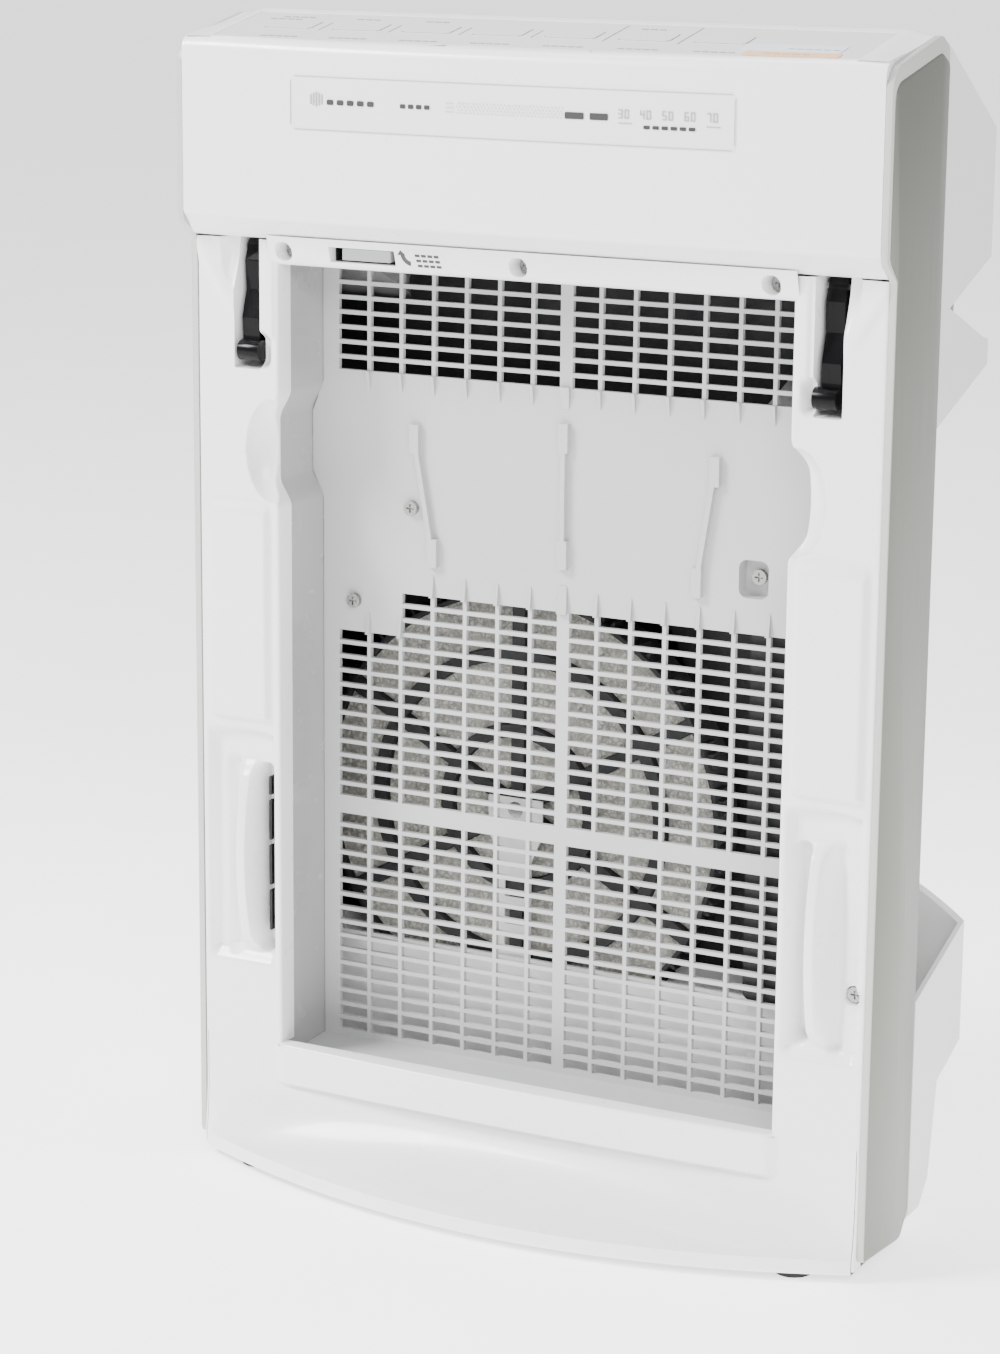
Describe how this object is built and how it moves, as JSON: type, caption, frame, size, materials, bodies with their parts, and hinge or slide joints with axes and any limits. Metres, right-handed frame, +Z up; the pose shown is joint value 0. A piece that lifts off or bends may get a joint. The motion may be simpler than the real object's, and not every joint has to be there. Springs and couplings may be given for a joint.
{
  "type": "air purifier",
  "caption": "Upright room air purifier opened at the front: barred filter bay, humidifying wheel in a slide-out tray, fan, sloped head with keys, silver side panels.",
  "frame": {"origin": "on the floor, at the centre of the bounding box's base", "axes": "+X to the machine's right as seen from the front, +Y from front to back, +Z up"},
  "size_m": [0.36, 0.2302, 0.5687],
  "materials": {
    "white_gloss": "moulded gloss white",
    "white_matte": "fine satin off-white",
    "silver": "satin silver",
    "window": "clear-coated white film",
    "overlay": "printed white film",
    "keys": "printed white film",
    "board": "circuit board",
    "switch_grey": "satin grey",
    "label_white": "paper label",
    "dark_plastic": "matt black",
    "black_rubber": "matt black",
    "steel": "zinc-plated",
    "motor_steel": "plated sheet",
    "grille_grey": "satin light grey",
    "post_white": "satin white",
    "wheel_dark": "matt dark grey",
    "wheel_mesh": "grey-beige woven wick",
    "black_gloss": "gloss black"
  },
  "bodies": {
    "casing": {"front_frame": "white_gloss", "grip_bars": "white_gloss", "control_head": "white_gloss", "base_apron": "white_gloss", "rear_casing": "white_matte", "cord_gland": "black_rubber", "rubber_feet": "black_rubber", "side_panel_left": "silver", "side_panel_right": "silver", "display_window": "window", "key_overlay": "overlay", "control_board": "board", "switch_guard": "dark_plastic", "notice_label": "label_white", "head_screws": "steel", "frame_screw": "steel", "grille_screws": "steel", "arm_pivots": "steel", "filter_grille": "grille_grey", "chassis": "dark_plastic", "base_plate": "dark_plastic", "outlet_grille": "dark_plastic", "fan_scroll": "dark_plastic", "fan_motor": "motor_steel", "gear_motor": "motor_steel"},
    "wheel": {"wheel_frame": "wheel_dark", "wheel_mesh": "wheel_mesh"},
    "tray": {"humidifier_tray": "white_matte", "axle_posts": "post_white", "wheel_axle": "steel"},
    "arm_left": {"panel_arm_left": "black_gloss"},
    "arm_right": {"panel_arm_right": "black_gloss"},
    "switch": {"panel_switch": "switch_grey"},
    "louver": {"louver": "white_matte"},
    "impeller": {"fan_impeller": "dark_plastic"},
    "pinion": {"drive_pinion": "post_white"},
    "key_1": {"key_1": "keys"},
    "key_2": {"key_2": "keys"},
    "key_3": {"key_3": "keys"},
    "key_4": {"key_4": "keys"},
    "key_5": {"key_5": "keys"},
    "key_6": {"key_6": "keys"},
    "key_7": {"key_7": "keys"}
  },
  "joints": [
    {"name": "tray_slide", "type": "slide", "parent": "casing", "child": "tray", "axis": [1, 0, 0], "range_m": [0, 0.24]},
    {"name": "wheel_spin", "type": "hinge", "parent": "tray", "child": "wheel", "pos_m": [-0.035, 0.005, 0.183], "axis": [0, 1, 0], "continuous": true},
    {"name": "pinion_spin", "type": "hinge", "parent": "casing", "child": "pinion", "pos_m": [-0.156, 0.005, 0.183], "axis": [0, 1, 0], "continuous": true},
    {"name": "fan_spin", "type": "hinge", "parent": "casing", "child": "impeller", "pos_m": [-0.035, 0.049, 0.235], "axis": [0, 1, 0], "continuous": true},
    {"name": "louver_tilt", "type": "hinge", "parent": "casing", "child": "louver", "pos_m": [0, 0.03657, 0.52944], "axis": [-1, 0, 0], "range_deg": [0, 60]},
    {"name": "arm_left_swing", "type": "hinge", "parent": "casing", "child": "arm_left", "pos_m": [0, -0.058, 0.458], "axis": [-1, 0, 0], "range_deg": [0, 35]},
    {"name": "arm_right_swing", "type": "hinge", "parent": "casing", "child": "arm_right", "pos_m": [0, -0.058, 0.458], "axis": [-1, 0, 0], "range_deg": [0, 35]},
    {"name": "switch_press", "type": "slide", "parent": "casing", "child": "switch", "axis": [0, 1, 0], "range_m": [0, 0.003], "stiffness_N_per_m": 150, "springref_m": -0.002},
    {"name": "key_1_press", "type": "slide", "parent": "casing", "child": "key_1", "axis": [0, 0.2005, -0.9797], "range_m": [0, 0.0008], "stiffness_N_per_m": 600, "springref_m": -0.0006},
    {"name": "key_2_press", "type": "slide", "parent": "casing", "child": "key_2", "axis": [0, 0.2005, -0.9797], "range_m": [0, 0.0008], "stiffness_N_per_m": 600, "springref_m": -0.0006},
    {"name": "key_3_press", "type": "slide", "parent": "casing", "child": "key_3", "axis": [0, 0.2005, -0.9797], "range_m": [0, 0.0008], "stiffness_N_per_m": 600, "springref_m": -0.0006},
    {"name": "key_4_press", "type": "slide", "parent": "casing", "child": "key_4", "axis": [0, 0.2005, -0.9797], "range_m": [0, 0.0008], "stiffness_N_per_m": 600, "springref_m": -0.0006},
    {"name": "key_5_press", "type": "slide", "parent": "casing", "child": "key_5", "axis": [0, 0.2005, -0.9797], "range_m": [0, 0.0008], "stiffness_N_per_m": 600, "springref_m": -0.0006},
    {"name": "key_6_press", "type": "slide", "parent": "casing", "child": "key_6", "axis": [0, 0.2005, -0.9797], "range_m": [0, 0.0008], "stiffness_N_per_m": 600, "springref_m": -0.0006},
    {"name": "key_7_press", "type": "slide", "parent": "casing", "child": "key_7", "axis": [0, 0.2005, -0.9797], "range_m": [0, 0.0008], "stiffness_N_per_m": 600, "springref_m": -0.0006}
  ],
  "couplings": [
    {"joint": "pinion_spin", "follows": "wheel_spin", "ratio": -10},
    {"joint": "arm_left_swing", "follows": "arm_right_swing", "ratio": 1}
  ]
}
